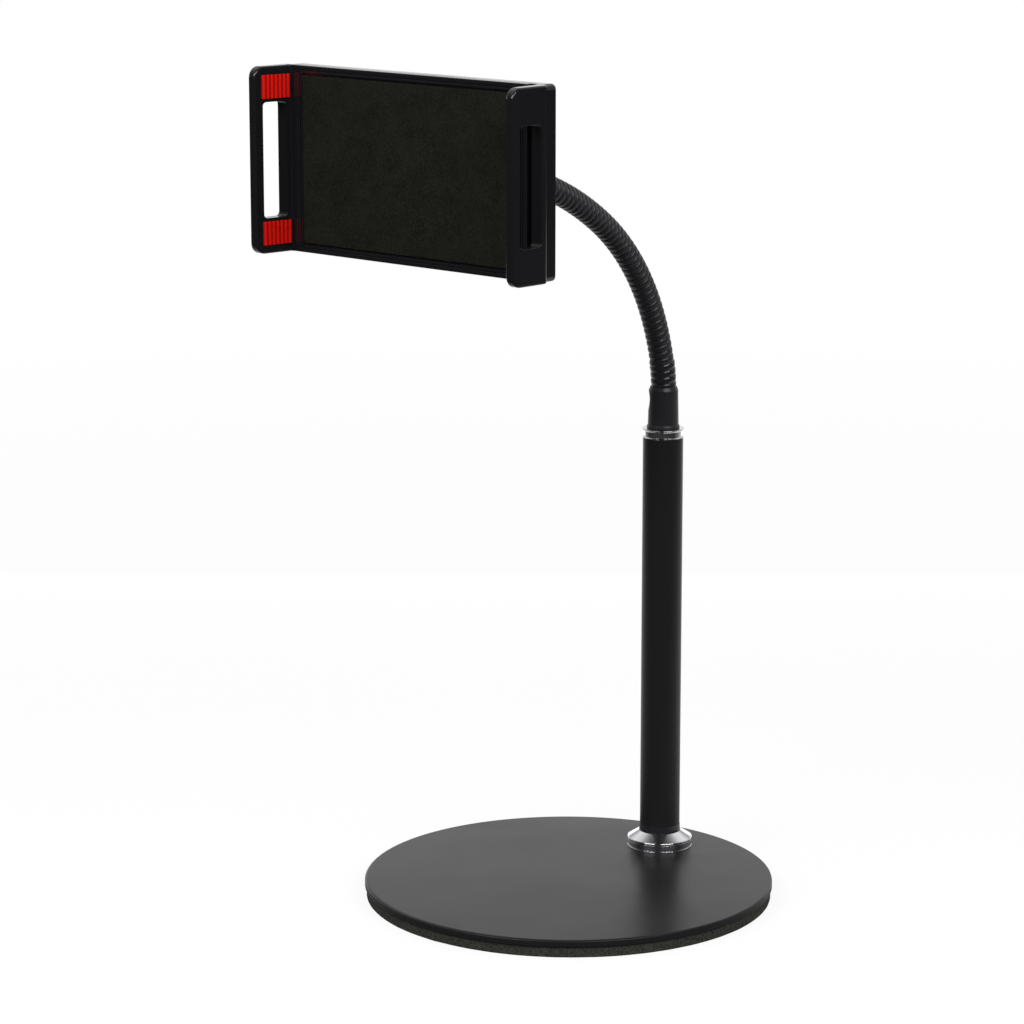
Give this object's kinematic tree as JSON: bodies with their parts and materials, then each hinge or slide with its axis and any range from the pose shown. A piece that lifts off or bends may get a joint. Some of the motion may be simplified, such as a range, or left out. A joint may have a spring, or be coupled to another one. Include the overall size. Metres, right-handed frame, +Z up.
{
  "type": "desktop tablet stand",
  "caption": "Desktop tablet stand: weighted round base, upright post, flexible ribbed neck and a ball-jointed spring clamp with padded tray and ribbed grips.",
  "frame": {"origin": "middle of the base's foam on the table", "axes": "+Z up, -Y to the front, where the clamp faces, +Y towards the post"},
  "size_m": [0.2, 0.2294, 0.408],
  "materials": {
    "base_paint": "satin black powder coat",
    "neck_coat": "black coated wound steel",
    "chrome": "polished chrome plate",
    "steel": "bright zinc plated steel",
    "ball_steel": "polished steel",
    "shell_plastic": "semi-gloss black moulded plastic",
    "fitting_plastic": "matt black moulded plastic",
    "liner_nylon": "natural nylon",
    "black_rubber": "shrunk black sleeve",
    "base_foam": "charcoal closed-cell foam",
    "pad_foam": "fine olive black foam",
    "grip_red": "red moulded rubber"
  },
  "bodies": {
    "stand": {"base_plate": "base_paint", "base_pad": "base_foam", "base_screw": "steel", "post_plug": "steel", "foot_flange": "chrome", "foot_collar": "black_rubber", "post_tube": "base_paint", "top_ring": "chrome", "neck_lower_sleeve": "neck_coat", "neck_shrink_boot": "black_rubber", "neck_root": "neck_coat"},
    "neck_b": {"neck_length_2": "neck_coat"},
    "neck_c": {"neck_length_3": "neck_coat"},
    "neck_d": {"neck_length_4": "neck_coat"},
    "neck_e": {"neck_length_5": "neck_coat"},
    "neck_tip": {"neck_end": "neck_coat", "neck_upper_sleeve": "neck_coat", "ball_stem": "ball_steel"},
    "liner": {"ball_liner": "liner_nylon"},
    "socket": {"ball_socket": "fitting_plastic"},
    "nut": {"socket_nut": "fitting_plastic"},
    "clamp": {"rear_housing": "shell_plastic", "fixed_jaw": "shell_plastic", "swivel_cover": "fitting_plastic", "swivel_screws": "steel", "swivel_washer": "steel", "housing_screws": "steel", "right_upper_grip": "grip_red", "right_lower_grip": "grip_red", "upper_spring": "steel", "lower_spring": "steel"},
    "tray": {"sliding_jaw": "shell_plastic", "tray_pad": "pad_foam", "left_upper_grip": "grip_red", "left_lower_grip": "grip_red", "upper_runner": "fitting_plastic", "lower_runner": "fitting_plastic", "runner_screws": "steel"}
  },
  "joints": [
    {"name": "neck_bend", "type": "hinge", "parent": "stand", "child": "neck_b", "pos_m": [0, 0.06594, 0.26254], "axis": [1, 0, 0], "range_deg": [-22, 16]},
    {"name": "neck_side", "type": "hinge", "parent": "neck_b", "child": "neck_c", "pos_m": [0, 0.05387, 0.29315], "axis": [0, 0.8717, 0.4901], "range_deg": [-18, 18]},
    {"name": "neck_bend_middle", "type": "hinge", "parent": "neck_c", "child": "neck_d", "pos_m": [0, 0.03371, 0.31912], "axis": [1, 0, 0], "range_deg": [-22, 16]},
    {"name": "neck_side_high", "type": "hinge", "parent": "neck_d", "child": "neck_e", "pos_m": [0, 0.00707, 0.33845], "axis": [0, 0.4938, 0.8696], "range_deg": [-18, 18]},
    {"name": "neck_bend_high", "type": "hinge", "parent": "neck_e", "child": "neck_tip", "pos_m": [0, -0.02305, 0.3518], "axis": [1, 0, 0], "range_deg": [-22, 16]},
    {"name": "head_pitch", "type": "hinge", "parent": "neck_tip", "child": "liner", "pos_m": [0, -0.08182, 0.36469], "axis": [1, 0, 0], "range_deg": [-35, 15]},
    {"name": "head_yaw", "type": "hinge", "parent": "liner", "child": "socket", "pos_m": [0, -0.08182, 0.36469], "axis": [0, 0, 1], "range_deg": [-25, 25]},
    {"name": "nut_turn", "type": "hinge", "parent": "socket", "child": "nut", "pos_m": [0, -0.08182, 0.36469], "axis": [0, 1, 0], "range_deg": [-270, 0]},
    {"name": "clamp_turn", "type": "hinge", "parent": "socket", "child": "clamp", "pos_m": [0, -0.08182, 0.36469], "axis": [0, 1, 0], "continuous": true},
    {"name": "clamp_slide", "type": "slide", "parent": "clamp", "child": "tray", "axis": [-1, 0, 0], "range_m": [0, 0.06], "stiffness_N_per_m": 280, "springref_m": -0.03, "deforming": ["upper_spring", "lower_spring"]}
  ],
  "couplings": [
    {"joint": "neck_bend_middle", "follows": "neck_bend", "ratio": 1},
    {"joint": "neck_bend_high", "follows": "neck_bend", "ratio": 1},
    {"joint": "neck_side_high", "follows": "neck_side", "ratio": 1}
  ]
}
